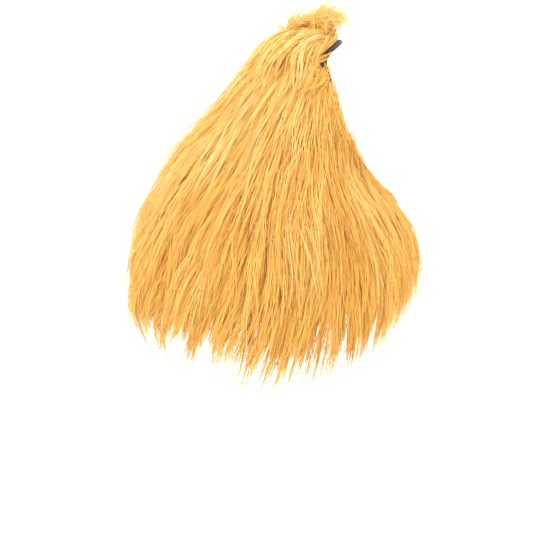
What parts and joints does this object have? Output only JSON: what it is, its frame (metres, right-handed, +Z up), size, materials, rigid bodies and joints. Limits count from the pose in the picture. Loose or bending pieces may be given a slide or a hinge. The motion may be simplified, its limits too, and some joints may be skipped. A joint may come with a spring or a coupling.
{
  "type": "pet lion mane wig",
  "caption": "Costume mane for a large dog: a soft hood and cape of long golden pile, open at the face and below, with a dark elastic face edge and a forehead tuft.",
  "frame": {"origin": "inner face of the hood at the top, where it sits on the crown of the head", "axes": "+Z up, the face opening looks along -Y and a little up, and the wearer's left is +X"},
  "size_m": [0.4083, 0.437, 0.5274],
  "materials": {
    "golden_pile": "long glossy synthetic pile",
    "backing_knit": "fine warp knit",
    "dark_elastic": "ribbed elastic edging"
  },
  "bodies": {
    "root": {"right_cloth": "backing_knit", "left_cloth": "backing_knit", "face_band": "dark_elastic", "crown_fur": "golden_pile", "front_fur": "golden_pile", "right_fur": "golden_pile", "left_fur": "golden_pile", "nape_fur": "golden_pile"}
  },
  "joints": []
}
